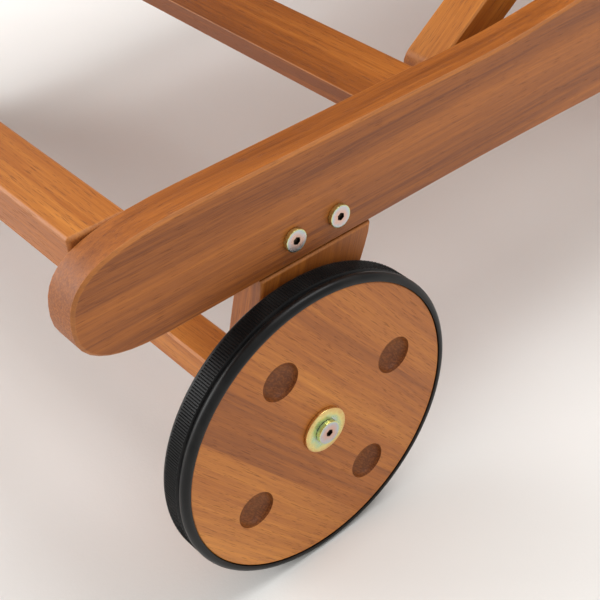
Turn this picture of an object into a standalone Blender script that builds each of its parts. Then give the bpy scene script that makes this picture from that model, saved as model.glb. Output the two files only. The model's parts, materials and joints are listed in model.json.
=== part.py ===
"""Reclining garden sun lounger: a slatted hardwood frame on two wheels.

Metres, +Z up. +X runs from the head end to the foot end, the right side is -Y.
The origin lies on the floor under the middle of the object's box.
Everything is modelled as separate pieces: rails, boards, slats, a backrest on a
steel rod, a folding prop whose pins ride over two racks, and two rubber-tyred wheels.
"""
import math

import bmesh
import bpy

# ---------------------------------------------------------------- driving dimensions
LENGTH = 2.000            # head nose to foot nose of the side rails
FRAME_HALF = 0.320        # outer face of a side rail, from the middle
RAIL_T = 0.023            # thickness of the rails and the wheel legs
FIT = 0.0003              # gap between pieces that touch
WHEEL_R = 0.1000          # outside of the tyre
AXLE_X = -LENGTH / 2 + 0.1265
AXLE_Z = WHEEL_R

# heights above the floor
RAIL_LOW = 0.2035         # underside of a rail at the head end
RAIL_HIGH = 0.2708        # top of a rail at the head end
SEAT_LOW = 0.1950         # underside of a rail along the seat
SEAT_HIGH = 0.2908        # top of a rail along the seat
BOARD_TOP = 0.2675        # top of the two cross boards at the head end
BOLT_Z = AXLE_Z + 0.1195  # the two bolts that hold a wheel leg's cleat to its rail
BOLT_XS = (0.0084, 0.0399)

# slats
SLAT_W = 0.085
SLAT_T = 0.012
SEAT_COUNT = 11
BACK_COUNT = 8
SEAT_START = 0.034        # from the hinge axis to the first seat slat
SEAT_END = 0.9355         # x of the last seat slat's edge
BACK_START = 0.008        # from the hinge axis to the first back slat
BACK_LENGTH = 0.7816      # from the hinge axis to the top edge of the back

# backrest and prop, which share one arm length, so the prop turns twice as fast
HINGE_X = AXLE_X + 0.6816
HINGE_Z = 0.2610
REST_ANGLE = math.radians(30.0)     # backrest above level, as stored
ARM = 0.304                         # hinge to prop pivot, and prop pivot to prop foot
FOLD_SLOPE = math.radians(5.0)      # fall of the prop when the back lies flat
FLAT_TO_UPRIGHT = (0.0, 60.0)       # degrees the backrest travels
NOTCH_ANGLES = (30.0, 37.5, 45.0, 52.5, 60.0)

STILE_IN = 0.2207         # inner face of a backrest stile
STILE_OUT = 0.2487        # outer face
STILE_LOW = 0.0068        # underside above the hinge axis when flat
STILE_T = 0.0230
EAR_R = 0.0140            # bearing ears under the stiles
PROP_IN = 0.2507
PROP_OUT = 0.2787
PROP_HALF = 0.01265       # half the depth of a prop leg, and its end radius
PIN_R = 0.0050
RACK_IN = 0.2810
NOTCH_DEPTH = 0.0040
PIN_CLEARANCE = 0.0004    # pins pass this far above the rack's teeth

# wheels
DISC_FACE = FRAME_HALF + 0.0247     # outer face of a wheel's wooden disc
DISC_R = 0.0950
DISC_T = 0.0195
FINGER_R = 0.0125
FINGER_PITCH = 0.0608
FINGER_DEPTH = 0.0085
FINGER_ANGLES = (20.7, 116.7, 208.5, 302.3)   # drilled by eye, in degrees
BEAD_R = 0.0035
BEAD_CENTRE_R = 0.0965
BEAD_CENTRE_Y = 0.0028    # behind the disc's outer face
TREAD_START = 0.0066
TREAD_END = 0.0207
AXLE_R = 0.0040
WASHER_R = 0.0150
WASHER_T = 0.0020
SPACER_T = 0.0046

SIDES = (("right", -1.0), ("left", 1.0))

# colour, roughness, metallic
FINISHES = {
    "wood": ((0.50, 0.22, 0.08), 0.45, 0.0),
    "wheel_wood": ((0.52, 0.25, 0.09), 0.5, 0.0),
    "rubber": ((0.02, 0.02, 0.022), 0.55, 0.0),
    "zinc": ((0.72, 0.60, 0.34), 0.3, 1.0),
}


# ---------------------------------------------------------------- tools
def clear_scene():
    for obj in list(bpy.data.objects):
        bpy.data.objects.remove(obj, do_unlink=True)


def finish(name, kind):
    """A material of its own for one piece."""
    colour, roughness, metallic = FINISHES[kind]
    mat = bpy.data.materials.new(name)
    mat.use_nodes = True
    shader = mat.node_tree.nodes["Principled BSDF"]
    shader.inputs["Base Color"].default_value = (*colour, 1.0)
    shader.inputs["Roughness"].default_value = roughness
    shader.inputs["Metallic"].default_value = metallic
    return mat


def add_piece(name, bm, kind, location=(0.0, 0.0, 0.0), turn=0.0, smooth=False):
    """Put a bmesh in the scene; turn is a rotation about the object's Y axis."""
    bmesh.ops.recalc_face_normals(bm, faces=bm.faces)
    mesh = bpy.data.meshes.new(name)
    bm.to_mesh(mesh)
    bm.free()
    if smooth:
        mesh.shade_smooth()
        mesh.set_sharp_from_angle(angle=math.radians(35))
    obj = bpy.data.objects.new(name, mesh)
    obj.location = location
    obj.rotation_euler = (0.0, turn, 0.0)
    obj.data.materials.append(finish(name, kind))
    bpy.context.collection.objects.link(obj)
    return obj


def bezier(p0, p1, p2, p3, steps=8):
    """Points of a cubic curve, without its first point."""
    points = []
    for i in range(1, steps + 1):
        t = i / steps
        a, b, c, d = (1 - t) ** 3, 3 * (1 - t) ** 2 * t, 3 * (1 - t) * t * t, t ** 3
        points.append((a * p0[0] + b * p1[0] + c * p2[0] + d * p3[0],
                       a * p0[1] + b * p1[1] + c * p2[1] + d * p3[1]))
    return points


def arc(cx, cz, r, start, end, steps=10):
    """Points of an arc in the XZ plane, angles in degrees, both ends included."""
    angles = [math.radians(start + (end - start) * i / steps) for i in range(steps + 1)]
    return [(cx + r * math.cos(a), cz + r * math.sin(a)) for a in angles]


def ease(x, x0, x1, z0, z1):
    """A smooth step from z0 at x0 to z1 at x1."""
    t = min(1.0, max(0.0, (x - x0) / (x1 - x0)))
    return z0 + (z1 - z0) * t * t * (3 - 2 * t)


def plate(outline, y0, y1, bevel=0.0):
    """An outline in the XZ plane, extruded from y0 to y1, with its rims eased."""
    low, high = sorted((y0, y1))
    bm = bmesh.new()
    face = bm.faces.new([bm.verts.new((x, low, z)) for x, z in outline])
    moved = bmesh.ops.extrude_face_region(bm, geom=[face])["geom"]
    verts = [v for v in moved if isinstance(v, bmesh.types.BMVert)]
    bmesh.ops.translate(bm, verts=verts, vec=(0.0, high - low, 0.0))
    if bevel:
        rims = [e for e in bm.edges if abs(e.verts[0].co.y - e.verts[1].co.y) < 1e-7]
        bmesh.ops.bevel(bm, geom=rims, offset=bevel, segments=1, affect="EDGES")
    return bm


def box(x0, x1, y0, y1, z0, z1, bevel=0.0):
    """A board with all its long edges eased."""
    bm = bmesh.new()
    bmesh.ops.create_cube(bm, size=1.0)
    bmesh.ops.scale(bm, vec=(x1 - x0, abs(y1 - y0), z1 - z0), verts=bm.verts)
    bmesh.ops.translate(bm, vec=((x0 + x1) / 2, (y0 + y1) / 2, (z0 + z1) / 2), verts=bm.verts)
    if bevel:
        bmesh.ops.bevel(bm, geom=list(bm.edges), offset=bevel, segments=1, affect="EDGES")
    return bm


def turned(profile, steps=48):
    """A closed profile of (radius, y) points, spun about the Y axis.

    A point with radius 0 becomes one pole vertex.
    """
    bm = bmesh.new()
    rings = []
    for r, y in profile:
        if r < 1e-7:
            rings.append([bm.verts.new((0.0, y, 0.0))])
            continue
        ring = []
        for i in range(steps):
            a = 2 * math.pi * i / steps
            ring.append(bm.verts.new((r * math.cos(a), y, r * math.sin(a))))
        rings.append(ring)
    closed = all(len(ring) > 1 for ring in rings)
    pairs = list(zip(rings, rings[1:])) + ([(rings[-1], rings[0])] if closed else [])
    for ring_a, ring_b in pairs:
        for i in range(steps):
            j = (i + 1) % steps
            corners = [ring_a[i % len(ring_a)], ring_a[j % len(ring_a)],
                       ring_b[j % len(ring_b)], ring_b[i % len(ring_b)]]
            unique = list(dict.fromkeys(corners))
            if len(unique) > 2:
                bm.faces.new(unique)
    return bm


def drill(obj, x, z, r, y0, y1, steps=20):
    """Bore a round hole along Y through obj; x, z, y0 and y1 are in obj's own space."""
    low, high = sorted((y0, y1))
    bm = turned([(0.0, low), (r, low), (r, high), (0.0, high)], steps)
    cutter = add_piece(obj.name + "_bore", bm, "zinc")
    cutter.parent = obj
    cutter.location = (x, 0.0, z)
    cutter.hide_render = True
    cutter.display_type = "WIRE"
    cut = obj.modifiers.new("bore", "BOOLEAN")
    cut.operation = "DIFFERENCE"
    cut.solver = "EXACT"
    cut.object = cutter


# ---------------------------------------------------------------- frame
def rail_outline():
    """Round nose at each end; deeper along the seat than at the head end."""
    x_head = -LENGTH / 2
    x_foot = LENGTH / 2
    tip = RAIL_LOW + 0.0287

    def top(x):
        return ease(x, AXLE_X + 0.150, AXLE_X + 0.400, RAIL_HIGH, SEAT_HIGH)

    def low(x):
        return ease(x, AXLE_X + 0.120, AXLE_X + 0.480, RAIL_LOW, SEAT_LOW)

    points = [(x_head, tip)]
    points += bezier((x_head, tip), (x_head, tip + 0.026),
                     (x_head + 0.0145, RAIL_HIGH), (x_head + 0.0810, RAIL_HIGH), 12)
    points += [(x, top(x)) for x in (AXLE_X + 0.150 + 0.025 * i for i in range(11))]
    foot_tip = SEAT_LOW + 0.036
    points.append((x_foot - 0.090, SEAT_HIGH))
    points += bezier((x_foot - 0.090, SEAT_HIGH), (x_foot - 0.040, SEAT_HIGH),
                     (x_foot, foot_tip + 0.034), (x_foot, foot_tip))
    points += bezier((x_foot, foot_tip), (x_foot, foot_tip - 0.022),
                     (x_foot - 0.024, SEAT_LOW), (x_foot - 0.064, SEAT_LOW))
    points += [(x, low(x)) for x in (AXLE_X + 0.480 - 0.036 * i for i in range(11))]
    points.append((x_head + 0.0584, RAIL_LOW))
    points += bezier((x_head + 0.0584, RAIL_LOW), (x_head + 0.0399, RAIL_LOW),
                     (x_head, tip - 0.028), (x_head, tip), 12)[:-1]
    return points


def make_rails():
    for side, s in SIDES:
        bm = plate(rail_outline(), s * (FRAME_HALF - RAIL_T), s * FRAME_HALF, bevel=0.0015)
        rail = add_piece("rail_" + side, bm, "wood")
        for dx in BOLT_XS:
            drill(rail, AXLE_X + dx, BOLT_Z, 0.0033, s * 0.28, s * 0.33)
        drill(rail, HINGE_X, HINGE_Z, 0.0053, s * 0.28, s * 0.33)


def make_boards():
    inner = FRAME_HALF - RAIL_T - FIT
    boards = (
        ("head_board", AXLE_X - 0.1083, AXLE_X - 0.0738, BOARD_TOP - 0.0252, BOARD_TOP),
        ("hinge_board", HINGE_X + 0.0520, HINGE_X + 0.0970, SEAT_HIGH - 0.0260, SEAT_HIGH),
        ("foot_board", SEAT_END - 0.0800, SEAT_END - 0.0350, SEAT_HIGH - 0.0260, SEAT_HIGH),
    )
    for name, x0, x1, z0, z1 in boards:
        add_piece(name, box(x0, x1, -inner, inner, z0, z1, bevel=0.0015), "wood")
    # the slat over the folded prop is thinned underneath, so that the prop's legs clear it
    x0, x1, low = AXLE_X + 0.0773, AXLE_X + 0.1230, BOARD_TOP - 0.0113
    outline = [(x0, low), (x1 - 0.0130, low), (x1, low + 0.0038), (x1, BOARD_TOP), (x0, BOARD_TOP)]
    add_piece("cross_slat", plate(outline, -inner, inner, bevel=0.001), "wood")


def make_seat():
    start = HINGE_X + SEAT_START
    pitch = (SEAT_END - start - SLAT_W) / (SEAT_COUNT - 1)
    low = SEAT_HIGH + FIT
    for i in range(SEAT_COUNT):
        x0 = start + i * pitch
        bm = box(x0, x0 + SLAT_W, -FRAME_HALF, FRAME_HALF, low, low + SLAT_T, bevel=0.0015)
        add_piece("seat_slat_%02d" % (i + 1), bm, "wood")


def wheel_leg_outline():
    """A waisted leg under the rail, with a round end about the axle."""
    end_r = 0.036
    end_z = AXLE_Z + 0.004
    top = RAIL_LOW - 0.0006
    left, right = AXLE_X - 0.0156, AXLE_X + 0.0645
    points = bezier((left, top), (left, top - 0.014), (AXLE_X - 0.0300, end_z + 0.055),
                    (AXLE_X - end_r, end_z))
    points += arc(AXLE_X, end_z, end_r, 180, 360, 16)[1:]
    points += bezier((AXLE_X + end_r, end_z), (AXLE_X + 0.0380, end_z + 0.052),
                     (right - 0.0010, top - 0.016), (right, top))
    points.append((left, top))
    return points


def make_wheel_legs():
    for side, s in SIDES:
        bm = plate(wheel_leg_outline(), s * (FRAME_HALF - RAIL_T), s * FRAME_HALF, bevel=0.001)
        leg = add_piece("wheel_leg_" + side, bm, "wood")
        drill(leg, AXLE_X, AXLE_Z, AXLE_R + FIT, s * 0.28, s * 0.33)
        inner = FRAME_HALF - RAIL_T - FIT
        bm = box(AXLE_X - 0.001, AXLE_X + 0.050, s * (inner - 0.016), s * inner,
                 AXLE_Z + 0.055, AXLE_Z + 0.150, bevel=0.0015)
        cleat = add_piece("leg_cleat_" + side, bm, "wood")
        for dx in BOLT_XS:
            drill(cleat, AXLE_X + dx, BOLT_Z, 0.0033, s * 0.26, s * 0.31)


def make_axle_beam():
    inner = FRAME_HALF - RAIL_T - FIT
    cx = AXLE_X - 0.0079
    cz = AXLE_Z - 0.001
    bm = box(cx - 0.0136, cx + 0.0136, -inner, inner, cz - 0.012, cz + 0.012, bevel=0.0015)
    beam = add_piece("axle_beam", bm, "wood")
    for _, s in SIDES:
        drill(beam, AXLE_X, AXLE_Z, AXLE_R + FIT, s * 0.260, s * 0.310)


def make_foot_legs():
    """Legs bolted inside the rails, and the stretcher between them."""
    x_mid = 0.7055
    width = 0.058
    outer = FRAME_HALF - RAIL_T - FIT
    inner = outer - 0.026
    for side, s in SIDES:
        foot = [(x_mid - 0.020, 0.0), (x_mid + 0.020, 0.0)]
        foot += [(x_mid + width / 2, 0.110)]
        foot += arc(x_mid, SEAT_HIGH - 0.006 - width / 2, width / 2, 0, 180, 12)
        foot += [(x_mid - width / 2, 0.110)]
        add_piece("foot_leg_" + side, plate(foot, s * inner, s * outer, bevel=0.0015), "wood")
    reach = inner - FIT
    bm = box(x_mid - 0.011, x_mid + 0.011, -reach, reach, 0.125, 0.165, bevel=0.0015)
    add_piece("foot_stretcher", bm, "wood")


# ---------------------------------------------------------------- backrest and prop
def prop_foot(angle):
    """Where the pins are, for the backrest at an angle above level, in radians."""
    pivot_x = HINGE_X - ARM * math.cos(angle)
    pivot_z = HINGE_Z + ARM * math.sin(angle)
    fall = angle + FOLD_SLOPE
    return pivot_x - ARM * math.cos(fall), pivot_z - ARM * math.sin(fall)


def rack_outline():
    """A strip whose top runs just under the pins, with a notch for each position."""
    start_x, start_z = prop_foot(math.radians(FLAT_TO_UPRIGHT[0]))
    end_x, end_z = prop_foot(math.radians(FLAT_TO_UPRIGHT[1]))
    slope = (end_z - start_z) / (end_x - start_x)
    under = PIN_R + PIN_CLEARANCE

    def top(x):
        return start_z - under - 0.0002 + slope * (x - start_x)

    x0 = start_x - 0.009
    x1 = end_x + 0.024
    points = [(x0, top(x0))]
    for degrees in NOTCH_ANGLES:
        x, _ = prop_foot(math.radians(degrees))
        points.append((x - 0.0070, top(x - 0.0070)))
        points.append((x - 0.0055, top(x) - NOTCH_DEPTH))
        points.append((x + 0.0030, top(x) - NOTCH_DEPTH))
        points.append((x + 0.0130, top(x + 0.0130)))
    points.append((x1, top(x1)))
    points.append((x1, 0.2040))
    points.append((x0, 0.2040))
    return points


def make_racks():
    outer = FRAME_HALF - RAIL_T - FIT
    for side, s in SIDES:
        bm = plate(rack_outline(), s * RACK_IN, s * outer)
        add_piece("prop_rack_" + side, bm, "wood")


def stile_outline():
    """Local to the hinge, flat: a bar with an ear at the hinge and one at the prop."""
    low, high = STILE_LOW, STILE_LOW + STILE_T
    reach = math.sqrt(EAR_R ** 2 - low ** 2)
    points = [(-BACK_LENGTH, low)]
    points += arc(-ARM, 0.0, EAR_R, 180 - math.degrees(math.asin(low / EAR_R)),
                  360 + math.degrees(math.asin(low / EAR_R)), 12)
    points += arc(0.0, 0.0, EAR_R, 180 - math.degrees(math.asin(low / EAR_R)), 360, 10)
    points += [(reach + 0.0003, high), (-BACK_LENGTH, high)]
    return points


def make_backrest():
    hinge = (HINGE_X, 0.0, HINGE_Z)
    for side, s in SIDES:
        bm = plate(stile_outline(), s * STILE_IN, s * STILE_OUT, bevel=0.001)
        stile = add_piece("back_stile_" + side, bm, "wood", hinge, REST_ANGLE)
        drill(stile, 0.0, 0.0, 0.0053, s * 0.21, s * 0.26)
        drill(stile, -ARM, 0.0, 0.0043, s * 0.21, s * 0.26)
    pitch = (BACK_LENGTH - BACK_START - SLAT_W) / (BACK_COUNT - 1)
    low = STILE_LOW + STILE_T + FIT
    half = FRAME_HALF - RAIL_T - 0.0035
    for i in range(BACK_COUNT):
        x1 = -BACK_START - i * pitch
        bm = box(x1 - SLAT_W, x1, -half, half, low, low + SLAT_T, bevel=0.0015)
        add_piece("back_slat_%d" % (i + 1), bm, "wood", hinge, REST_ANGLE)


def make_prop():
    pivot_x = HINGE_X - ARM * math.cos(REST_ANGLE)
    pivot_z = HINGE_Z + ARM * math.sin(REST_ANGLE)
    pivot = (pivot_x, 0.0, pivot_z)
    fall = -(REST_ANGLE + FOLD_SLOPE)
    outline = arc(0.0, 0.0, PROP_HALF, -90, 90, 10) + arc(-ARM, 0.0, PROP_HALF, 90, 270, 10)
    for side, s in SIDES:
        bm = plate(outline, s * PROP_IN, s * PROP_OUT, bevel=0.001)
        leg = add_piece("prop_leg_" + side, bm, "wood", pivot, fall)
        drill(leg, 0.0, 0.0, 0.0043, s * 0.24, s * 0.29)
        drill(leg, -ARM, 0.0, PIN_R + FIT, s * 0.24, s * 0.29)
        bm = turned([(0.0, s * (PROP_IN + 0.001)), (PIN_R, s * (PROP_IN + 0.001)),
                     (PIN_R, s * 0.2955), (0.0, s * 0.2955)], 20)
        bmesh.ops.translate(bm, vec=(-ARM, 0.0, 0.0), verts=bm.verts)
        add_piece("prop_pin_" + side, bm, "zinc", pivot, fall, smooth=True)
        shank, head = 0.0040, 0.0075
        profile = [(0.0, s * 0.2170), (head, s * 0.2170), (head, s * 0.2204),
                   (shank, s * 0.2204), (shank, s * 0.2792), (0.0060, s * 0.2792),
                   (0.0060, s * 0.2806), (0.0, s * 0.2806)]
        bolt = turned(profile, 20)
        bmesh.ops.translate(bolt, vec=(-ARM, 0.0, 0.0), verts=bolt.verts)
        add_piece("prop_bolt_" + side, bolt, "zinc", (HINGE_X, 0.0, HINGE_Z), REST_ANGLE,
                  smooth=True)
    reach = PROP_IN - FIT
    bm = box(-ARM + 0.137, -ARM + 0.163, -reach, reach, -0.011, 0.011, bevel=0.0015)
    add_piece("prop_bar", bm, "wood", pivot, fall)


def make_hinge_rod():
    rod_r, head_r = 0.0050, 0.0080
    end = FRAME_HALF + 0.0035
    face = FRAME_HALF + FIT
    profile = [(0.0, -end), (head_r, -end), (head_r, -face), (rod_r, -face),
               (rod_r, face), (head_r, face), (head_r, end), (0.0, end)]
    add_piece("hinge_rod", turned(profile, 20), "zinc", (HINGE_X, 0.0, HINGE_Z), smooth=True)


# ---------------------------------------------------------------- wheels
def tyre_profile(s):
    """A round bead on each face and a flat tread between two grooves."""
    points = []

    def bead(centre_y, start, end):
        for i in range(7):
            a = math.radians(start + (end - start) * i / 6)
            points.append((BEAD_CENTRE_R + BEAD_R * math.cos(a), centre_y - BEAD_R * math.sin(a)))

    bore = DISC_R + FIT
    back_bead_y = TREAD_END - 0.0007
    bead(BEAD_CENTRE_Y, 112, -40)
    points.append((WHEEL_R - 0.0016, TREAD_START))
    points.append((WHEEL_R, TREAD_START + 0.0012))
    points.append((WHEEL_R, TREAD_END - 0.0030))
    points.append((WHEEL_R - 0.0012, back_bead_y))
    points.append((bore, TREAD_END))
    points.append((bore, BEAD_CENTRE_Y + 0.001))
    return [(r, s * (DISC_FACE - y)) for r, y in points]


def make_wheels():
    for side, s in SIDES:
        axle = (AXLE_X, 0.0, AXLE_Z)
        back = DISC_FACE - DISC_T
        profile = [(AXLE_R + FIT, s * DISC_FACE), (DISC_R, s * DISC_FACE),
                   (DISC_R, s * back), (AXLE_R + FIT, s * back)]
        disc = add_piece("wheel_disc_" + side, turned(profile, 64), "wheel_wood", axle, smooth=True)
        for degrees in FINGER_ANGLES:
            a = math.radians(degrees)
            drill(disc, FINGER_PITCH * math.cos(a), FINGER_PITCH * math.sin(a), FINGER_R,
                  s * (DISC_FACE - FINGER_DEPTH), s * (DISC_FACE + 0.01), 24)
        add_piece("tyre_" + side, turned(tyre_profile(s), 64), "rubber", axle, smooth=True)

        outer = DISC_FACE + FIT
        hole = AXLE_R + FIT
        profile = [(hole, s * outer), (WASHER_R, s * outer),
                   (WASHER_R, s * (outer + WASHER_T)), (hole, s * (outer + WASHER_T))]
        add_piece("hub_washer_" + side, turned(profile, 32), "zinc", axle, smooth=True)
        spacer = FRAME_HALF + FIT
        profile = [(hole, s * spacer), (WASHER_R, s * spacer),
                   (WASHER_R, s * (spacer + SPACER_T)), (hole, s * (spacer + SPACER_T))]
        add_piece("hub_spacer_" + side, turned(profile, 32), "zinc", axle, smooth=True)
        head = outer + WASHER_T + FIT
        profile = [(0.0, s * (head + 0.0028)), (0.0078, s * (head + 0.0028)),
                   (0.0078, s * head), (AXLE_R, s * head), (AXLE_R, s * 0.2640), (0.0, s * 0.2640)]
        add_piece("hub_bolt_" + side, turned(profile, 24), "zinc", axle, smooth=True)


def make_rail_bolts():
    head, end = FRAME_HALF + FIT, 0.2750
    for side, s in SIDES:
        for number, dx in enumerate(BOLT_XS, 1):
            profile = [(0.0, s * (head + 0.0026)), (0.0070, s * (head + 0.0026)),
                       (0.0070, s * head), (0.0030, s * head), (0.0030, s * end), (0.0, s * end)]
            add_piece("rail_bolt_%s_%d" % (side, number), turned(profile, 20), "zinc",
                      (AXLE_X + dx, 0.0, BOLT_Z), smooth=True)


def main():
    clear_scene()
    make_rails()
    make_boards()
    make_seat()
    make_wheel_legs()
    make_axle_beam()
    make_foot_legs()
    make_racks()
    make_backrest()
    make_prop()
    make_hinge_rod()
    make_wheels()
    make_rail_bolts()


main()
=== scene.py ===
"""Looks of a slatted hardwood sun lounger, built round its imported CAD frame."""

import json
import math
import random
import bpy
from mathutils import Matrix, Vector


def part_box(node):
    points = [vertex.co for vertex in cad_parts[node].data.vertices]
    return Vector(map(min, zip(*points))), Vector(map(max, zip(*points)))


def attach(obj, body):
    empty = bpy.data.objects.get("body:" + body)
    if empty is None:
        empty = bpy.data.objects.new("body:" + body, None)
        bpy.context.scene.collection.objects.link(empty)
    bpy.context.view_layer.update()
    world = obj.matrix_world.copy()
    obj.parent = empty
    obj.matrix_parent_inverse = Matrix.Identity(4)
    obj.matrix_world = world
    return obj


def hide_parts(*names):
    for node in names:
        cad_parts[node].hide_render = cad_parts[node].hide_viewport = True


bl_info = {
    "name": "Sun Lounger",
    "version": (1, 0, 0),
    "blender": (4, 5, 0),
    "location": "View3D > Sidebar > Lounger",
    "description": "Builds the wood, tyres, metal parts and stage of a garden sun lounger",
    "category": "Object",
}

import bmesh
import bpy
from bpy.props import FloatProperty, FloatVectorProperty, IntProperty, PointerProperty
from mathutils import Matrix, Vector

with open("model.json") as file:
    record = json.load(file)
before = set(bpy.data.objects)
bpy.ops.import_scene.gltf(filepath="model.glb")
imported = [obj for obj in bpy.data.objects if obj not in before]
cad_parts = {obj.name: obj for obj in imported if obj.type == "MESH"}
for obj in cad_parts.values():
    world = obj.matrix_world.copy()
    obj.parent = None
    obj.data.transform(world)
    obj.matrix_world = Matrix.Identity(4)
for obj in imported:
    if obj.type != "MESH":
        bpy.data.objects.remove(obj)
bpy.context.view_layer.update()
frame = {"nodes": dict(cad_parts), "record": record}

SIDES = (("right", -1.0), ("left", 1.0))
SLOT_OF = {part["node"]: part["material_slot"] for part in frame["record"]["subparts"]}
BODIES = frame["record"]["behaviour"]["bodies"]
BODY_OF = {node: body for body, nodes in BODIES.items() for node in nodes}
BOARDS = sorted(node for node, slot in SLOT_OF.items() if slot == "oiled_hardwood")

# boards
SHARP = math.radians(20)      # edges sharper than this are rounded
FLAT = math.radians(0.1)      # faces closer in direction than this are one face
MERGE = 1e-5                  # corners nearer than this are one corner
ARRIS_WIDTH = 0.0018          # faces narrower than this are arrises that get a painted highlight
TOP_PAINTED_LIGHT = 0.40             # painted light: how much lighter a face that looks up is, as if lit from above
TONE_RANGE = (-0.40, 0.10)
TONES = {"cross_slat": -0.70, "head_board": -0.18, "rail_right": -0.72, "wheel_leg_right": -0.45}

# wheel discs
AXLE_HOLE = 0.0043            # bore of the discs and washers
DISC_EASE = 0.0010            # rounding of a disc's rim
DISC_TONE = 0.05
FINGER_PITCH = 0.0608         # from the axle to a finger hole
FINGER_ANGLES = (20.7, 116.7, 208.5, 302.3)   # degrees
STAVE_SLOPE = math.radians(-52.5)             # fibre direction of the glued staves
BOWL_FLARE = 0.0004           # softening of a finger hole's rim
CUT_REACH = 0.005             # the boring tool stands this far out of the disc

# tyres: walls and depths are inwards from the outside, places are behind the disc's outer face
TYRE_WALL = 0.0047
BEAD_R = 0.0035
BEAD_PLACE = 0.0028
GROOVE_DEPTH = 0.0018
GROOVE_PLACE = 0.0068
TREAD_START = 0.0080
TREAD_END = 0.0175
SHOULDER_R = 0.0025
STUD_HALF = 0.00040
STUD_STRETCH = 1.3            # a stud is this much longer across the rows
STUD_TAPER = 0.45             # size of a stud's cap, from its foot
STUD_ROOT = 0.0001            # a stud's foot sits this deep in the tread

# bolts: head height and shank radius
HUB_BOLT = (0.0028, 0.0040)
RAIL_BOLT = (0.0026, 0.0030)
SOCKET_R = 0.0024             # corners of the hexagon socket
SOCKET_DEPTH = 0.0014
RIM_EASE = 0.0005
RIB_SIZE = 0.955              # a rim notch's distance from the axis, in head radii
SLAT_HALF = 0.0061            # from a slat's middle to its screws' seats

# camera: degrees, then metres from the near wheel's hub, then millimetres and picture widths
CAMERA_TURN = (-40.272, 40.242, -2.907)
CAMERA_FROM_HUB = (-0.31144, -0.39280, 0.50368)
LENS, SENSOR = 72.946, 36.0
SHIFT = (-0.07702, 0.03757)

# lamps: place, aim, size and power
LAMPS = {
    "overhead": ((0.5, -0.3, 3.2), (-0.3, 0.0, 0.0), 2.8, 80.0),
    "head_end": ((-2.6, 2.2, 1.3), (-0.5, 0.3, 0.0), 2.6, 66.0),
    "near_side": ((-0.8, -3.2, 1.8), (-0.6, 0.0, 0.1), 2.4, 4.0),
}
ROOM_COLOUR = (1.0, 0.985, 0.965, 1.0)
ROOM_STRENGTH = 0.64
FLOOR_HALF = 15.0


# ---------------------------------------------------------------- sizes and colours
class LoungerSizes(bpy.types.PropertyGroup):
    edge_radius: FloatProperty(name="Edge radius", description="Rounding of the boards' arrises",
                               default=0.0006, unit="LENGTH")
    bowl_radius: FloatProperty(name="Finger hole radius", description="Rim radius of a finger hole",
                               default=0.0124, unit="LENGTH")
    bowl_depth: FloatProperty(name="Finger hole depth", description="Depth of a finger hole",
                              default=0.0080, unit="LENGTH")
    knurl_rows: IntProperty(name="Knurl rows", description="Rows of studs round a tyre", default=370)
    knurl_across: IntProperty(name="Knurl studs", description="Studs across a tread", default=10)
    knurl_height: FloatProperty(name="Knurl height", description="Height of a stud",
                                default=0.00055, unit="LENGTH")
    screw_radius: FloatProperty(name="Screw radius", description="Head radius of a slat screw",
                                default=0.0040, unit="LENGTH")
    screw_gap: FloatProperty(name="Screw gap", description="Distance of a slat's two screws",
                             default=0.0500, unit="LENGTH")


class LoungerColours(bpy.types.PropertyGroup):
    dark_wood: FloatVectorProperty(name="Dark wood", description="Dark streaks of the wood",
                                   subtype="COLOR", size=4, default=(0.205, 0.055, 0.009, 1.0))
    red_wood: FloatVectorProperty(name="Red wood", description="Main colour of the wood",
                                  subtype="COLOR", size=4, default=(0.420, 0.128, 0.018, 1.0))
    light_wood: FloatVectorProperty(name="Light wood", description="Light streaks of the wood",
                                    subtype="COLOR", size=4, default=(0.640, 0.240, 0.038, 1.0))
    rubber: FloatVectorProperty(name="Rubber", description="Colour of the tyres",
                                subtype="COLOR", size=4, default=(0.0045, 0.0045, 0.0048, 1.0))
    floor: FloatVectorProperty(name="Floor", description="Colour of the floor",
                               subtype="COLOR", size=4, default=(0.84, 0.832, 0.815, 1.0))


# ---------------------------------------------------------------- node trees
class Wire:
    """A node's output. Arithmetic on it adds Math nodes to its tree."""

    def __init__(self, graph, socket):
        self.graph = graph
        self.socket = socket

    def join(self, operation, first, second):
        return self.graph.node("ShaderNodeMath", {"operation": operation}, {0: first, 1: second})

    def __add__(self, other):
        return self.join("ADD", self, other)

    def __radd__(self, other):
        return self.join("ADD", other, self)

    def __sub__(self, other):
        return self.join("SUBTRACT", self, other)

    def __rsub__(self, other):
        return self.join("SUBTRACT", other, self)

    def __mul__(self, other):
        return self.join("MULTIPLY", self, other)

    def __rmul__(self, other):
        return self.join("MULTIPLY", other, self)

    def __truediv__(self, other):
        return self.join("DIVIDE", self, other)


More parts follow.
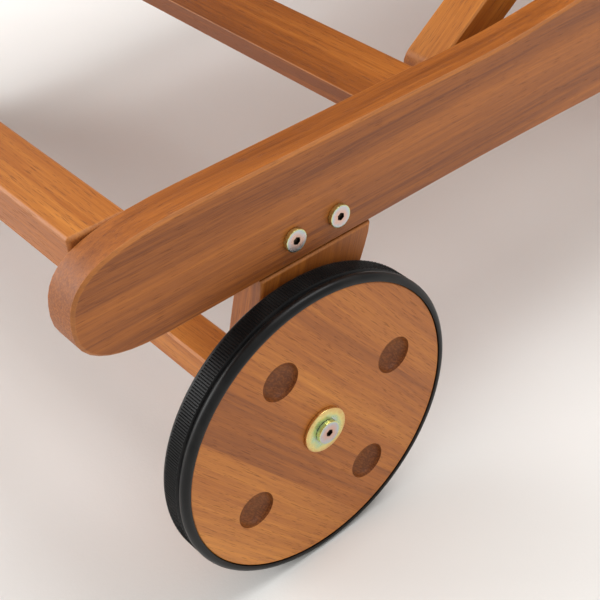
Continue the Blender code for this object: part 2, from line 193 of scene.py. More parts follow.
class Graph:
    """Adds nodes to a shader or geometry tree."""

    def __init__(self, tree):
        self.tree = tree

    def node(self, kind, settings=None, sockets=None, out=0):
        """Adds a node: its settings first, then its sockets; returns one output."""
        node = self.tree.nodes.new(kind)
        for key, value in (settings or {}).items():
            if key == "stops":
                ramp = node.color_ramp
                while len(ramp.elements) < len(value):
                    ramp.elements.new(0.5)
                for element, (place, colour) in zip(ramp.elements, value):
                    element.position = place
                    element.color = colour
            elif key == "steps":
                node.color_ramp.interpolation = value
            else:
                setattr(node, key, value)
        for key, value in (sockets or {}).items():
            if isinstance(value, Wire):
                self.tree.links.new(value.socket, node.inputs[key])
            else:
                node.inputs[key].default_value = value
        return Wire(self, node.outputs[out]) if len(node.outputs) else node

    def mix(self, amount, first, second):
        return self.node("ShaderNodeMix", {"data_type": "RGBA"}, {0: amount, 6: first, 7: second}, 2)

    def stretch(self, vector, sizes):
        return self.node("ShaderNodeVectorMath", {"operation": "MULTIPLY"}, {0: vector, 1: sizes})

    def noise(self, vector, scale=1.0, detail=2.0, rough=0.5, out=0):
        sockets = {"Vector": vector, "Scale": scale, "Detail": detail, "Roughness": rough}
        return self.node("ShaderNodeTexNoise", None, sockets, out)

    def step(self, value, low, high, to_low=0.0, to_high=1.0):
        """A smooth step of value from low to high."""
        sockets = {0: value, 1: low, 2: high, 3: to_low, 4: to_high}
        return self.node("ShaderNodeMapRange", {"interpolation_type": "SMOOTHSTEP"}, sockets)

    def attribute(self, name, out):
        return self.node("ShaderNodeAttribute", {"attribute_name": name}, None, out)


def material(name):
    """A new material, its graph and its Principled shader."""
    mat = bpy.data.materials.new(name)
    mat.use_nodes = True
    return mat, Graph(mat.node_tree), mat.node_tree.nodes["Principled BSDF"]


def connect(graph, shader, **sockets):
    for name, wire in sockets.items():
        graph.tree.links.new(wire.socket, shader.inputs[name.replace("_", " ")])


# ---------------------------------------------------------------- finishes
def wood_finish(colours, name, staves=False):
    """Oiled hardwood. Reads a board's own fibre coordinates from its 'grain' attribute."""
    mat, g, shader = material(name)
    fibre = g.attribute("grain", 1)
    tone = g.attribute("tone", 2)
    end = g.attribute("end_grain", 2)
    # mask of the rounded arrises, which get a painted highlight
    wear = g.attribute("wear", 2)
    sway = g.noise(g.stretch(fibre, (3.0, 16.0, 16.0)), detail=2.0, out=1)
    drift = g.stretch(g.node("ShaderNodeVectorMath", {"operation": "SUBTRACT"},
                             {0: sway, 1: (0.5, 0.5, 0.5)}), (0.0, 0.012, 0.012))
    wavy = g.node("ShaderNodeVectorMath", {"operation": "ADD"}, {0: fibre, 1: drift})
    bands = g.noise(g.stretch(wavy, (1.4, 38.0, 38.0)), detail=2.0)
    streaks = g.noise(g.stretch(wavy, (6.0, 330.0, 330.0)), detail=4.0, rough=0.62)
    hairs = g.noise(g.stretch(wavy, (34.0, 1500.0, 1500.0)), detail=2.0, rough=0.6)
    pores = g.step(g.noise(g.stretch(fibre, (100.0, 2100.0, 2100.0)), detail=1.0), 0.60, 0.70)
    level = (bands - 0.5) * 0.85 + (streaks - 0.5) * 0.75 + (hairs - 0.5) * 0.35 + 0.5
    # the tone holds each board's own tone plus the painted light on faces that look up
    level = level + tone * 0.35
    if staves:
        across = g.node("ShaderNodeSeparateXYZ", None, {0: fibre}, 1)
        place = across * 5.0 + 0.5
        shades = ((0.0, 0.62), (0.16, 0.56), (0.315, 0.22), (0.47, 0.50), (0.60, 0.40),
                  (0.765, 0.62), (0.90, 0.48))
        stops = [(at, (shade, shade, shade, 1.0)) for at, shade in shades]
        shade = g.node("ShaderNodeValToRGB", {"stops": stops, "steps": "CONSTANT"}, {0: place})
        level = level + (shade - 0.5) * 0.62
    stops = [(0.12, colours.dark_wood), (0.47, colours.red_wood), (0.86, colours.light_wood)]
    colour = g.node("ShaderNodeValToRGB", {"stops": stops}, {0: level})
    colour = g.mix(pores * 0.45, colour, (0.120, 0.036, 0.014, 1.0))
    speckle = g.noise(g.stretch(fibre, (500.0, 900.0, 900.0)), detail=2.0)
    end_colour = g.mix(g.step(speckle, 0.42, 0.62),
                       (0.215, 0.060, 0.014, 1.0), (0.390, 0.125, 0.026, 1.0))
    colour = g.mix(end * 0.75, colour, end_colour)
    # painted highlight: the rounded arrises are lightened as if catching the light
    colour = g.mix(wear * 0.18, colour, (0.700, 0.300, 0.080, 1.0))
    if staves:
        # inside the finger holes: the rough cut's own colour, darkened further as painted shade of the
        # bowl's recess
        bored = g.attribute("bored", 2)
        rough_cut_and_shade = g.mix(g.step(speckle, 0.40, 0.66),
                          (0.100, 0.026, 0.007, 1.0), (0.220, 0.062, 0.014, 1.0))
        colour = g.mix(bored * 0.70, colour, rough_cut_and_shade)
    rough = (streaks - 0.5) * 0.22 + pores * 0.18 + end * 0.10 + 0.44
    height = streaks * 0.5 + hairs * 0.3 - pores * 0.7 + end * speckle * 0.6
    bump = g.node("ShaderNodeBump", None, {"Strength": 0.35, "Distance": 0.0003, "Height": height})
    connect(g, shader, Base_Color=colour, Roughness=rough, Normal=bump)
    shader.inputs["Specular IOR Level"].default_value = 0.42
    return mat


def rubber_finish(colours, name, low, high):
    mat, g, shader = material(name)
    place = g.node("ShaderNodeTexCoord", None, None, 3)
    dust = g.noise(place, scale=60.0, detail=4.0)
    fine = g.noise(place, scale=2200.0, detail=2.0)
    colour = g.mix(g.step(dust, 0.45, 0.80), colours.rubber, (0.012, 0.0115, 0.011, 1.0))
    rough = g.step(dust, 0.30, 0.75, low, high)
    bump = g.node("ShaderNodeBump", None, {"Strength": 0.15, "Distance": 0.0001, "Height": fine})
    connect(g, shader, Base_Color=colour, Roughness=rough, Normal=bump)
    shader.inputs["Specular IOR Level"].default_value = 0.22
    return mat


def zinc_finish():
    """Yellow-passivated zinc: the film's colour runs with the distance from the part's axis; the ramp's
    first stop is a near-black painted shade for the bolts' sockets.
    """
    mat, g, shader = material("yellow_zinc")
    place = g.node("ShaderNodeTexCoord", None, None, 3)
    cloud = g.noise(place, scale=170.0, detail=3.0)
    film = g.attribute("ring", 2) + (cloud - 0.5) * 0.55
    # the first stop is a near-black painted shade for the hex sockets' recess
    stops = [(0.0, (0.05, 0.035, 0.025, 1.0)), (0.06, (0.66, 0.40, 0.27, 1.0)),
             (0.28, (0.66, 0.46, 0.40, 1.0)),
             (0.46, (0.52, 0.56, 0.60, 1.0)), (0.62, (0.50, 0.66, 0.40, 1.0)),
             (0.80, (0.78, 0.68, 0.28, 1.0)), (0.98, (0.74, 0.50, 0.20, 1.0))]
    colour = g.node("ShaderNodeValToRGB", {"stops": stops}, {0: film})
    scratch = g.noise(g.stretch(place, (900.0, 900.0, 120.0)), detail=3.0)
    bump = g.node("ShaderNodeBump", None, {"Strength": 0.12, "Distance": 0.0001, "Height": scratch})
    connect(g, shader, Base_Color=colour, Roughness=g.step(cloud, 0.3, 0.7, 0.22, 0.38), Normal=bump)
    shader.inputs["Metallic"].default_value = 1.0
    return mat


def floor_finish(colours):
    mat, g, shader = material("pale_floor")
    place = g.node("ShaderNodeTexCoord", None, None, 3)
    grit = g.noise(place, scale=420.0, detail=4.0, rough=0.6)
    cloud = g.noise(place, scale=3.0, detail=3.0)
    r, gr, b, _ = colours.floor
    colour = g.mix(g.step(cloud, 0.3, 0.7), (r * 0.97, gr * 0.97, b * 0.96, 1.0), (r, gr, b, 1.0))
    bump = g.node("ShaderNodeBump", None, {"Strength": 0.10, "Distance": 0.0010, "Height": grit})
    connect(g, shader, Base_Color=colour, Normal=bump)
    shader.inputs["Roughness"].default_value = 0.72
    return mat


# ---------------------------------------------------------------- mesh tools
def show(name, bm, mats):
    """Puts a bmesh in the scene as an object at the origin."""
    mesh = bpy.data.meshes.new(name)
    bm.to_mesh(mesh)
    bm.free()
    obj = bpy.data.objects.new(name, mesh)
    for mat in mats:
        mesh.materials.append(mat)
    bpy.context.scene.collection.objects.link(obj)
    return obj


def settle(obj):
    """Turns the evaluated object into a plain mesh without modifiers."""
    graph = bpy.context.evaluated_depsgraph_get()
    mesh = bpy.data.meshes.new_from_object(obj.evaluated_get(graph), preserve_all_data_layers=True,
                                           depsgraph=graph)
    obj.modifiers.clear()
    obj.data = mesh


def even_normals(obj):
    """Keeps flat faces flat-looking beside their rounded edges."""
    obj.modifiers.new("even normals", "WEIGHTED_NORMAL").keep_sharp = True
    settle(obj)


def write(mesh, name, domain, values, kind="FLOAT"):
    layer = mesh.attributes.new(name, kind, domain)
    key = "value" if kind == "FLOAT" else "vector"
    flat = values if kind == "FLOAT" else [number for vector in values for number in vector]
    layer.data.foreach_set(key, flat)


def write_grain(obj, turn, tone, narrow=0.0, painted_top_light=0.0):
    """Stores fibre coordinates, tone, end grain and the arrises' painted highlight on the mesh.

    Faces that look up are made lighter by the last argument, a painted light from above, and faces narrower
    than narrow get a painted highlight."""
    mesh = obj.data
    draw = random.Random(obj.name)
    shift = Vector((draw.uniform(0, 9), draw.uniform(0, 9), draw.uniform(0, 9)))
    write(mesh, "grain", "POINT", [turn @ vert.co + shift for vert in mesh.vertices], "FLOAT_VECTOR")
    # the tone adds painted light from above to faces that look up
    write(mesh, "tone", "FACE", [tone + painted_top_light * max(0.0, face.normal.z) for face in mesh.polygons])
    write(mesh, "end_grain", "CORNER", [(turn @ n.vector).x ** 2 for n in mesh.corner_normals])
    # faces narrower than narrow are the rounded arrises and are marked for a painted highlight
    highlit_arris = []
    for face in mesh.polygons:
        longest = max((mesh.vertices[a].co - mesh.vertices[b].co).length for a, b in face.edge_keys)
        highlit_arris.append(1.0 if face.area / longest < narrow else 0.0)
    write(mesh, "wear", "FACE", highlit_arris)


def fibre_turn(mesh):
    """Rotation that lays a board's longest direction along X."""
    middle = sum((v.co for v in mesh.vertices), Vector()) / len(mesh.vertices)
    far = max(mesh.vertices, key=lambda v: (v.co - middle).length).co - middle
    along = Vector(far)
    for _ in range(12):
        along = sum(((v.co - middle) * (v.co - middle).dot(along) for v in mesh.vertices), Vector())
        along.normalize()
    best = max(range(3), key=lambda i: abs(along[i]))
    if abs(along[best]) > 0.985:
        along = Vector([1.0 if i == best else 0.0 for i in range(3)])
    side = Vector((0.0, 1.0, 0.0)) if abs(along.y) < 0.9 else Vector((0.0, 0.0, 1.0))
    return Matrix((along, side, along.cross(side)))


def turned(profile, steps, centre, s, start=0.0):
    """A profile of (radius, y) spun about a Y axis through centre; s mirrors it to a side."""
    bm = bmesh.new()
    rings = []
    for radius, y in profile:
        count = steps if radius > 1e-7 else 1
        angles = [start + 2 * math.pi * i / steps for i in range(count)]
        rings.append([bm.verts.new((centre.x + radius * math.cos(a), s * y, centre.z + radius * math.sin(a)))
                      for a in angles])
    pairs = list(zip(rings, rings[1:]))
    if all(len(ring) > 1 for ring in rings):
        pairs.append((rings[-1], rings[0]))
    for one, two in pairs:
        for i in range(steps):
            j = (i + 1) % steps
            corners = [one[i % len(one)], one[j % len(one)], two[j % len(two)], two[i % len(two)]]
            corners = list(dict.fromkeys(corners))
            if len(corners) > 2:
                bm.faces.new(corners)
    bmesh.ops.recalc_face_normals(bm, faces=bm.faces)
    return bm


def arc(centre_r, centre_y, radius, start, end, steps=6):
    """Profile points of an arc, in degrees from outwards."""
    angles = [math.radians(start + (end - start) * i / steps) for i in range(steps + 1)]
    return [(centre_r + radius * math.cos(a), centre_y + radius * math.sin(a)) for a in angles]


def stand_in(obj, node):
    """obj rides with a CAD node's body and replaces it."""
    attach(obj, BODY_OF[node])
    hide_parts(node)


def middle(node):
    """Middle of a CAD node's box."""
    low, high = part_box(node)
    return (low + high) / 2


def extents(node):
    """A turned node's centre, radius, and its outer and inner ends as distances from the middle plane."""
    low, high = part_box(node)
    ends = sorted((abs(low.y), abs(high.y)))
    return (low + high) / 2, (high.x - low.x) / 2, ends[1], ends[0]


def merged(node, sharp, radius, bulge):
    """A CAD node's shape as one closed bmesh, with edges sharper than sharp eased.

    A bulge of 0.5 rounds an edge, and 0 cuts a fine step along it."""
    bm = bmesh.new()
    bm.from_mesh(frame["nodes"][node].data)
    bmesh.ops.remove_doubles(bm, verts=bm.verts, dist=MERGE)
    bmesh.ops.dissolve_limit(bm, angle_limit=FLAT, verts=bm.verts, edges=bm.edges)
    edges = [e for e in bm.edges if len(e.link_faces) == 2 and e.calc_face_angle(0.0) > sharp]
    bmesh.ops.bevel(bm, geom=edges, offset=radius, offset_type="OFFSET", segments=2,
                    profile=bulge, affect="EDGES", clamp_overlap=True)
    return bm


def geometry_tree(name, inputs):
    """An empty Geometry Nodes tree with named inputs; returns it, its graph, outputs and identifiers."""
    tree = bpy.data.node_groups.new(name, "GeometryNodeTree")
    ids = {}
    for title, kind in inputs:
        socket = tree.interface.new_socket(title, in_out="INPUT", socket_type="NodeSocket" + kind)
        ids[title] = socket.identifier
    tree.interface.new_socket("Geometry", in_out="OUTPUT", socket_type="NodeSocketGeometry")
    graph = Graph(tree)
    source = tree.nodes.new("NodeGroupInput")
    given = {title: Wire(graph, source.outputs[title]) for title, _ in inputs}
    return tree, graph, given, ids


def close_tree(graph, geometry, finish):
    """Realizes the instances, sets their material and links the tree's output."""
    real = graph.node("GeometryNodeRealizeInstances", None, {"Geometry": geometry})
    done = graph.node("GeometryNodeSetMaterial", None, {"Geometry": real, "Material": finish})
    sink = graph.tree.nodes.new("NodeGroupOutput")
    graph.tree.links.new(done.socket, sink.inputs[0])


def repeat(obj, tree, ids, values):
    """Runs a Geometry Nodes tree on obj with these input values, and keeps the result as its mesh."""
    modifier = obj.modifiers.new(tree.name, "NODES")
    modifier.node_group = tree
    for name, value in values.items():
        modifier[ids[name]] = value
    settle(obj)


# ---------------------------------------------------------------- operators
class LOUNGER_OT_boards(bpy.types.Operator):
    """Rounds every board's arrises and gives it oiled wood with its own grain"""
    bl_idname = "lounger.boards"
    bl_label = "Boards"

    def execute(self, context):
        sizes = context.scene.lounger_sizes
        wood = wood_finish(context.scene.lounger_colours, "oiled_wood")
        for node in BOARDS:
            obj = show(node + "_wood", merged(node, SHARP, sizes.edge_radius, 0.5), [wood])
            obj.data.shade_smooth()
            even_normals(obj)
            tone = TONES.get(node, random.Random(node + "tone").uniform(*TONE_RANGE))
            write_grain(obj, fibre_turn(obj.data), tone, ARRIS_WIDTH, TOP_PAINTED_LIGHT)
            stand_in(obj, node)
        return {"FINISHED"}


def finger_spots(centre):
    """Centres of a wheel's finger holes."""
    angles = [math.radians(degrees) for degrees in FINGER_ANGLES]
    return [centre + Vector((FINGER_PITCH * math.cos(a), 0.0, FINGER_PITCH * math.sin(a))) for a in angles]


def bowl_profile(sizes, face):
    """Profile of the tool that bores a finger hole: a flat-bottomed bowl with a softened rim."""
    radius, depth, rings = sizes.bowl_radius, sizes.bowl_depth, 10
    profile = [(0.0, face - depth)]
    for i in range(1, rings):
        t = math.radians(90 * i / rings)
        profile.append((radius * math.sin(t), face - depth * math.cos(t) ** 0.8))
    profile += [(radius, face), (radius + BOWL_FLARE, face + BOWL_FLARE)]
    return profile + [(radius + BOWL_FLARE, face + CUT_REACH), (0.0, face + CUT_REACH)]


def bore_bowl(disc, profile, spot, s):
    """Cuts one finger hole into a disc."""
    tool = show("bowl_tool", turned(profile, 48, spot, s), [])
    cut = disc.modifiers.new("bowl", "BOOLEAN")
    cut.operation = "DIFFERENCE"
    cut.solver = "EXACT"
    cut.object = tool
    settle(disc)
    bpy.data.objects.remove(tool)


def write_bored(mesh, spots, sizes, face):
    """Marks the faces inside the finger holes, which get a rough-cut colour darkened further as painted
    shade.
    """
    near = 0.0003
    bored = []
    for polygon in mesh.polygons:
        x, y, z = polygon.center
        away = min(math.hypot(x - spot.x, z - spot.z) for spot in spots)
        inside = face - sizes.bowl_depth - near < abs(y) < face - near
        bored.append(1.0 if inside and away < sizes.bowl_radius + near else 0.0)
    write(mesh, "bored", "FACE", bored)


class LOUNGER_OT_discs(bpy.types.Operator):
    """Makes the wheels' laminated discs with bowl-shaped finger holes"""
    bl_idname = "lounger.discs"
    bl_label = "Wheel discs"

    def execute(self, context):
        sizes = context.scene.lounger_sizes
        wood = wood_finish(context.scene.lounger_colours, "wheel_wood", staves=True)
        for side, s in SIDES:
            node = "wheel_disc_" + side
            centre, radius, face, back = extents(node)
            profile = [(AXLE_HOLE, face)]
            profile += arc(radius - DISC_EASE, face - DISC_EASE, DISC_EASE, 90, 0, 3)
            profile += arc(radius - DISC_EASE, back + DISC_EASE, DISC_EASE, 0, -90, 3)
            profile += [(AXLE_HOLE, back)]
            disc = show(node + "_wood", turned(profile, 144, centre, s), [wood])
            spots = finger_spots(centre)
            for spot in spots:
                bore_bowl(disc, bowl_profile(sizes, face), spot, s)
            disc.data.shade_smooth()
            disc.data.set_sharp_from_angle(angle=math.radians(35))
            even_normals(disc)
            along = Vector((math.cos(STAVE_SLOPE), 0.0, math.sin(STAVE_SLOPE)))
            across = Vector((-math.sin(STAVE_SLOPE), 0.0, math.cos(STAVE_SLOPE)))
            turn = Matrix((along, across, along.cross(across)))
            write_grain(disc, turn, DISC_TONE)
            # the staves are counted from the axle, so this grain has no random shift
            grain = [number for v in disc.data.vertices for number in turn @ (v.co - centre)]
            disc.data.attributes["grain"].data.foreach_set("vector", grain)
            write_bored(disc.data, spots, sizes, face)
            stand_in(disc, node)
        return {"FINISHED"}


def knurl_tree():
    """Geometry Nodes: studs in staggered rows round a tread."""
    inputs = (("Geometry", "Geometry"), ("Rows", "Int"), ("Across", "Int"), ("Radius", "Float"),
              ("Pitch", "Float"), ("Start", "Float"), ("Centre", "Vector"), ("Rubber", "Material"))
    tree, g, given, ids = geometry_tree("knurl", inputs)
    step = g.node("ShaderNodeCombineXYZ", None, {2: given["Pitch"]})
    start = g.node("ShaderNodeCombineXYZ", None, {2: given["Start"]})
    line = g.node("GeometryNodeMeshLine", None,
                  {"Count": given["Across"], "Start Location": start, "Offset": step})
    row = g.node("GeometryNodeInstanceOnPoints", None, {"Points": line, "Instance": given["Geometry"]})
    circle = g.node("GeometryNodeMeshCircle", None, {"Vertices": given["Rows"], "Radius": given["Radius"]})
    index = g.node("GeometryNodeInputIndex")
    half = index.join("MODULO", index, 2.0) * given["Pitch"] * 0.5
    offset = g.node("ShaderNodeCombineXYZ", None, {2: half})
    circle = g.node("GeometryNodeSetPosition", None, {"Geometry": circle, "Offset": offset})
    angle = index * (2 * math.pi) / given["Rows"]
    facing = g.node("ShaderNodeCombineXYZ", None, {2: angle})
    studs = g.node("GeometryNodeInstanceOnPoints", None,
                   {"Points": circle, "Instance": row, "Rotation": facing})
    upright = (math.pi / 2, 0.0, 0.0)
    placed = g.node("GeometryNodeTransform", None,
                    {"Geometry": studs, "Translation": given["Centre"], "Rotation": upright})
    close_tree(g, placed, given["Rubber"])
    return tree, ids


def tyre_profile(outer, tread, face):
    """A round bead, a groove, the tread that carries the studs, and a round shoulder."""
    bore, front = outer - TYRE_WALL, face - BEAD_PLACE
    start, end = face - TREAD_START, face - TREAD_END
    profile = arc(outer - BEAD_R, front, BEAD_R, 112, -45, 14)
    profile += [(outer - GROOVE_DEPTH, face - GROOVE_PLACE), (tread, start + 0.0004), (tread, end)]
    profile += arc(tread - SHOULDER_R, end - 0.0006, SHOULDER_R, 0, -90, 5)
    return profile + [(bore, end - 0.0032), (bore, front - 0.0010)]


def stud_mesh(height):
    """One stud, pointing along +X: a diamond foot that tapers to a smaller cap."""
    bm = bmesh.new()
    half, long_half = STUD_HALF, STUD_HALF * STUD_STRETCH
    corners = ((-long_half, 0.0), (0.0, -half), (long_half, 0.0), (0.0, half))
    foot = [bm.verts.new((-STUD_ROOT, y, z)) for y, z in corners]
    cap = [bm.verts.new((height, y * STUD_TAPER, z * STUD_TAPER)) for y, z in corners]
    bm.faces.new(cap)
    bm.faces.new(foot[::-1])
    for i in range(4):
        j = (i + 1) % 4
        bm.faces.new((foot[i], foot[j], cap[j], cap[i]))
    bmesh.ops.recalc_face_normals(bm, faces=bm.faces)
    return bm


class LOUNGER_OT_tyres(bpy.types.Operator):
    """Makes the tyres: smooth beads and a knurled tread"""
    bl_idname = "lounger.tyres"
    bl_label = "Tyres"

    def execute(self, context):
        sizes, colours = context.scene.lounger_sizes, context.scene.lounger_colours
        smooth = rubber_finish(colours, "rubber_bead", 0.30, 0.42)
        matt = rubber_finish(colours, "rubber_tread", 0.36, 0.50)
        tree, ids = knurl_tree()
        for side, s in SIDES:
            node = "tyre_" + side
            centre, outer, _, _ = extents(node)
            face = extents("wheel_disc_" + side)[2]
            tread = outer - sizes.knurl_height
            start, end = face - TREAD_START, face - TREAD_END
            bm = turned(tyre_profile(outer, tread, face), 160, centre, s)
            for f in bm.faces:
                y = f.calc_center_median().y * s
                f.material_index = 1 if end - 0.001 < y < start + 0.0002 else 0
            tyre = show(node + "_rubber", bm, [smooth, matt])
            tyre.data.shade_smooth()
            tyre.data.set_sharp_from_angle(angle=math.radians(50))
            stand_in(tyre, node)

            knurl = show(node + "_knurl", stud_mesh(sizes.knurl_height), [matt])
            # the tree's quarter turn about X sends +Z to -Y
            repeat(knurl, tree, ids, {
                "Rows": sizes.knurl_rows, "Across": sizes.knurl_across, "Radius": tread,
                "Pitch": (start - end) / (sizes.knurl_across - 0.5), "Start": -start if s > 0 else end,
                "Centre": (centre.x, 0.0, centre.z), "Rubber": matt})
            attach(knurl, BODY_OF[node])
        return {"FINISHED"}


def bolt_mesh(centre, s, face, head_r, head_h, shank_r, shank_end):
    """A flat round head with a ribbed rim, a hexagon socket, and a plain shank."""
    top, steps, lip = face + head_h, 48, 0.0002
    profile = [(0.0, top - SOCKET_DEPTH - lip), (SOCKET_R, top - SOCKET_DEPTH), (SOCKET_R, top - lip),
               (SOCKET_R + lip, top), (head_r - RIM_EASE * 1.4, top)]
    profile += arc(head_r - RIM_EASE, top - RIM_EASE, RIM_EASE, 60, 0, 3)
    profile += [(head_r, face), (shank_r, face), (shank_r, shank_end), (0.0, shank_end)]
    bm = turned(profile, steps, centre, s)
    sixth = math.pi / 3
    for v in bm.verts:
        out = Vector((v.co.x - centre.x, v.co.z - centre.z))
        if out.length < 1e-6:
            continue
        angle = math.atan2(out.y, out.x)
        if abs(v.co.y) > top - SOCKET_DEPTH - 0.0003 and out.length < SOCKET_R + 0.0003:
            nearest = (angle + sixth / 2) % sixth - sixth / 2
            out *= math.cos(sixth / 2) / math.cos(nearest)
        elif out.length > head_r - 0.0001 and round(angle / (2 * math.pi / steps)) % 3 == 0:
            out *= RIB_SIZE
        v.co.x, v.co.z = centre.x + out.x, centre.z + out.y
    return bm


def metal(name, bm, centre, reach, zinc, head_r=None):
    """Shows a turned metal piece and stores its distance from the axis as 'ring'.

    A bolt's head_r puts its socket at the ramp's near-black first stop, a painted shade in the recess, and
    its rim in the gold."""
    obj = show(name, bm, [zinc])
    obj.data.shade_smooth()
    obj.data.set_sharp_from_angle(angle=math.radians(32))
    # the first value sends the hex socket to the ramp's near-black painted shade
    socket_shade, gold, copper = -0.4, 0.75, 0.5
    top = max(abs(v.co.y) for v in obj.data.vertices)
    rings = []
    for v in obj.data.vertices:
        radius = math.hypot(v.co.x - centre.x, v.co.z - centre.z)
        ring = radius / reach
        if head_r and radius < SOCKET_R + 0.0004 and abs(v.co.y) < top - 0.0001:
            ring = socket_shade
        elif head_r and radius > head_r * 0.94:
            ring = gold
        elif head_r:
            ring *= copper
        rings.append(ring)
    write(obj.data, "ring", "POINT", rings)
    return obj


class LOUNGER_OT_hardware(bpy.types.Operator):
    """Makes the bolts, washers, spacers, pins and the hinge rod"""
    bl_idname = "lounger.hardware"
    bl_label = "Bolts and washers"

    def execute(self, context):
        zinc = zinc_finish()
        for side, s in SIDES:
            bolts = {"rail_bolt_%s_1" % side: RAIL_BOLT, "rail_bolt_%s_2" % side: RAIL_BOLT,
                     "hub_bolt_" + side: HUB_BOLT}
            for node, (head_h, shank) in bolts.items():
                centre, head_r, far, near = extents(node)
                bm = bolt_mesh(centre, s, far - head_h, head_r, head_h, shank, near)
                stand_in(metal(node + "_metal", bm, centre, head_r, zinc, head_r), node)
            for node in ("hub_washer_" + side, "hub_spacer_" + side):
                centre, radius, far, near = extents(node)
                profile = [(AXLE_HOLE, far), (radius * 0.62, far)]
                profile += arc(radius - RIM_EASE, far - RIM_EASE, RIM_EASE, 90, 0, 4)
                profile += [(radius, near), (AXLE_HOLE, near)]
                bm = turned(profile, 72, centre, s)
                stand_in(metal(node + "_metal", bm, centre, radius, zinc), node)
        for node in ("hinge_rod", "prop_pin_right", "prop_pin_left", "prop_bolt_right", "prop_bolt_left"):
            centre, radius, _, _ = extents(node)
            bm = merged(node, math.radians(60), 0.0004, 0.0)
            stand_in(metal(node + "_metal", bm, centre, radius * 1.1, zinc), node)
        return {"FINISHED"}


def screw_tree():
    """Geometry Nodes: four screws a slat, along a row of slats on a slope."""
    inputs = (("Geometry", "Geometry"), ("Slats", "Int"), ("Pitch", "Float"), ("Gap", "Float"),
              ("Width", "Float"), ("Origin", "Vector"), ("Slope", "Float"), ("Metal", "Material"))
    tree, g, given, ids = geometry_tree("slat screws", inputs)
    step = g.node("ShaderNodeCombineXYZ", None, {0: given["Pitch"]})
    line = g.node("GeometryNodeMeshLine", None, {"Count": given["Slats"], "Offset": step})
    four = g.node("GeometryNodeMeshGrid", None,
                  {"Size X": given["Gap"], "Size Y": given["Width"],
                   "Vertices X": 2, "Vertices Y": 2})
    spots = g.node("GeometryNodeInstanceOnPoints", None, {"Points": line, "Instance": four})
    spots = g.node("GeometryNodeRealizeInstances", None, {"Geometry": spots})
    heads = g.node("GeometryNodeInstanceOnPoints", None, {"Points": spots, "Instance": given["Geometry"]})
    tilt = g.node("ShaderNodeCombineXYZ", None, {1: given["Slope"]})
    placed = g.node("GeometryNodeTransform", None,
                    {"Geometry": heads, "Translation": given["Origin"], "Rotation": tilt})
    close_tree(g, placed, given["Metal"])
    return tree, ids


def screw_head(radius):
    """A countersunk head with a dished middle, facing up."""
    head = turned([(0.0, -0.0004), (radius * 0.45, -0.0002), (radius * 0.5, 0.0004),
                   (radius * 0.9, 0.0003), (radius, 0.0), (radius, -0.0008), (0.0, -0.0008)],
                  12, Vector(), 1.0)
    head.transform(Matrix.Rotation(math.pi / 2, 4, "X"))
    return head


class LOUNGER_OT_screws(bpy.types.Operator):
    """Sets the slats' screws: four in each slat of the seat and the backrest"""
    bl_idname = "lounger.screws"
    bl_label = "Slat screws"

    def execute(self, context):
        sizes = context.scene.lounger_sizes
        steel = bpy.data.materials["yellow_zinc"]
        tree, ids = screw_tree()
        seat = [node for node in BOARDS if node.startswith("seat_slat_")]
        back = [node for node in BOARDS if node.startswith("back_slat_")]
        # the seat's row runs towards the foot end and level, the back's towards the head end and up
        rows = (("seat", "frame", seat, 1.0, "rail_right"),
                ("back", "backrest", back, -1.0, "back_stile_right"))
        for name, body, slats, way, carrier in rows:
            first = middle(slats[0])
            run = middle(slats[-1]) - first
            slope = -way * math.atan2(run.z, way * run.x)
            obj = show(name + "_slat_screws", screw_head(sizes.screw_radius), [steel])
            origin = first + Vector((math.sin(slope), 0.0, math.cos(slope))) * SLAT_HALF
            repeat(obj, tree, ids, {
                "Slats": len(slats), "Pitch": way * run.length / (len(slats) - 1),
                "Gap": sizes.screw_gap, "Width": abs(middle(carrier).y) * 2,
                "Origin": (origin.x, 0.0, origin.z), "Slope": slope, "Metal": steel})
            write(obj.data, "ring", "POINT", [0.7] * len(obj.data.vertices))
            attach(obj, body)
        return {"FINISHED"}


def hang_lamp(scene, name, place, target, size, power):
    lamp = bpy.data.lights.new(name, "AREA")
    lamp.shape, lamp.size, lamp.energy = "DISK", size, power
    obj = bpy.data.objects.new(name, lamp)
    obj.location = place
    aim = Vector(target) - Vector(place)
    obj.rotation_euler = aim.to_track_quat("-Z", "Y").to_euler()
    scene.collection.objects.link(obj)


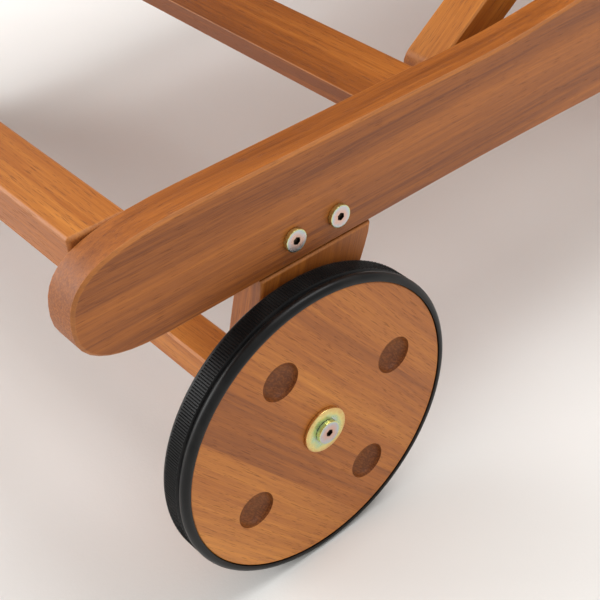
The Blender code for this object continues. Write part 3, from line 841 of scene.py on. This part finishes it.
def set_camera(scene):
    """Looks at the near wheel's corner from above the head end."""
    azimuth, elevation, roll = (math.radians(degrees) for degrees in CAMERA_TURN)
    ahead = Vector((-math.sin(azimuth) * math.cos(elevation),
                    math.cos(azimuth) * math.cos(elevation), -math.sin(elevation)))
    across = ahead.cross(Vector((0.0, 0.0, 1.0))).normalized()
    up = across.cross(ahead)
    c, s = math.cos(roll), math.sin(roll)
    across, up = across * c + up * s, up * c - across * s
    hub, _, face, _ = extents("wheel_disc_right")
    hub.y = -face
    lens = bpy.data.cameras.new("camera")
    lens.lens, lens.sensor_width = LENS, SENSOR
    lens.shift_x, lens.shift_y = SHIFT
    camera = bpy.data.objects.new("camera", lens)
    facing = Matrix((across, up, -ahead)).transposed().to_4x4()
    camera.matrix_world = Matrix.Translation(hub + Vector(CAMERA_FROM_HUB)) @ facing
    scene.collection.objects.link(camera)
    scene.camera = camera


class LOUNGER_OT_stage(bpy.types.Operator):
    """Lays the floor, hangs the soft lights and sets up the camera"""
    bl_idname = "lounger.stage"
    bl_label = "Stage"

    def execute(self, context):
        scene = context.scene
        scene.view_settings.view_transform = "Standard"
        bm = bmesh.new()
        bmesh.ops.create_grid(bm, x_segments=2, y_segments=2, size=FLOOR_HALF)
        floor = show("floor", bm, [floor_finish(scene.lounger_colours)])
        scene.world = bpy.data.worlds.new("soft room")
        scene.world.use_nodes = True
        back = scene.world.node_tree.nodes["Background"]
        back.inputs["Color"].default_value = ROOM_COLOUR
        back.inputs["Strength"].default_value = ROOM_STRENGTH
        for name, (place, target, size, power) in LAMPS.items():
            hang_lamp(scene, name, place, target, size, power)
        set_camera(scene)
        return {"FINISHED"}


class LOUNGER_PT_panel(bpy.types.Panel):
    """Lists the lounger's operators"""
    bl_label = "Sun Lounger"
    bl_idname = "LOUNGER_PT_panel"
    bl_space_type = "VIEW_3D"
    bl_region_type = "UI"
    bl_category = "Lounger"

    def draw(self, context):
        for operator in OPERATORS:
            self.layout.operator(operator.bl_idname)


OPERATORS = (LOUNGER_OT_boards, LOUNGER_OT_discs, LOUNGER_OT_tyres, LOUNGER_OT_hardware,
             LOUNGER_OT_screws, LOUNGER_OT_stage)
CLASSES = (LoungerSizes, LoungerColours) + OPERATORS + (LOUNGER_PT_panel,)


def register():
    for cls in CLASSES:
        bpy.utils.register_class(cls)
    bpy.types.Scene.lounger_sizes = PointerProperty(type=LoungerSizes)
    bpy.types.Scene.lounger_colours = PointerProperty(type=LoungerColours)


def unregister():
    del bpy.types.Scene.lounger_colours
    del bpy.types.Scene.lounger_sizes
    for cls in reversed(CLASSES):
        bpy.utils.unregister_class(cls)


def main():
    register()
    bpy.ops.lounger.boards()
    bpy.ops.lounger.discs()
    bpy.ops.lounger.tyres()
    bpy.ops.lounger.hardware()
    bpy.ops.lounger.screws()
    bpy.ops.lounger.stage()


if __name__ == "__main__":
    main()
